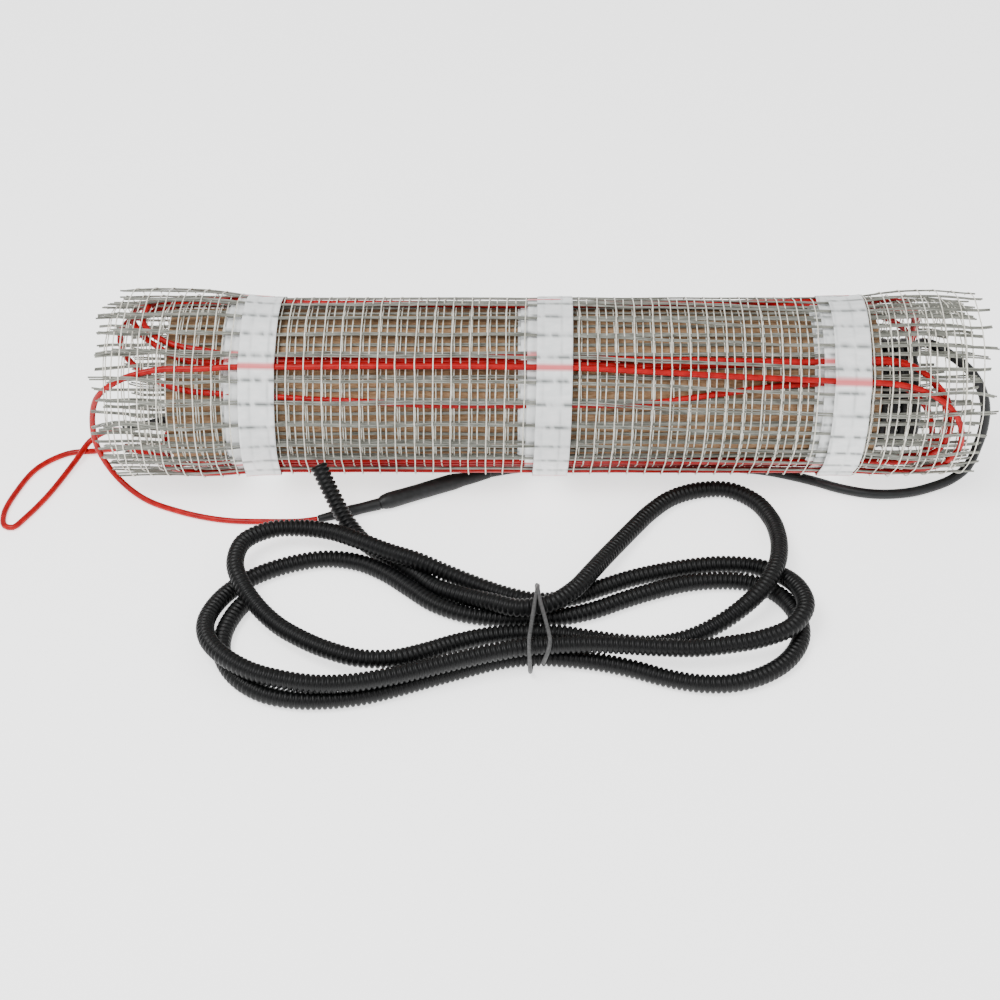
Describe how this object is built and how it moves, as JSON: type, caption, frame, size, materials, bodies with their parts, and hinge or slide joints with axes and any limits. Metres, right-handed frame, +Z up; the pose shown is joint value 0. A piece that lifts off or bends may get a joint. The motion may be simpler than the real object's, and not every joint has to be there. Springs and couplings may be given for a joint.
{
  "type": "underfloor heating mat",
  "caption": "Electric underfloor heating mat: heating cable on glass fibre mesh, rolled on a cardboard tube, with its cold lead in the tube's end and a tied sensor conduit.",
  "frame": {"origin": "on the floor under the middle of the rolled mat", "axes": "+X along the roll, +Z up, -Y towards the side where the sensor conduit lies"},
  "size_m": [0.5718, 0.2646, 0.108],
  "materials": {
    "cardboard": "spiral wound kraft board",
    "glass_mesh": "resin coated glass fibre threads",
    "red_jacket": "extruded fluoropolymer jacket",
    "tape": "translucent white film tape",
    "heat_shrink": "satin heat shrink sleeve",
    "black_jacket": "extruded cable jacket",
    "conduit": "corrugated conduit, satin",
    "tie": "plastic coated wire"
  },
  "bodies": {
    "root": {"core_tube": "cardboard", "mat_roll": "glass_mesh", "heating_cable": "red_jacket", "tape_left": "tape", "tape_middle": "tape", "tape_right": "tape", "supply_loop": "red_jacket", "splice_sleeve_thin": "heat_shrink", "splice_sleeve_thick": "heat_shrink", "cold_lead": "black_jacket", "cold_lead_coil": "black_jacket", "tail_loop": "red_jacket", "end_seal": "heat_shrink", "sensor_conduit_hank": "conduit", "sensor_conduit_end": "conduit", "twist_tie": "tie"}
  },
  "joints": []
}
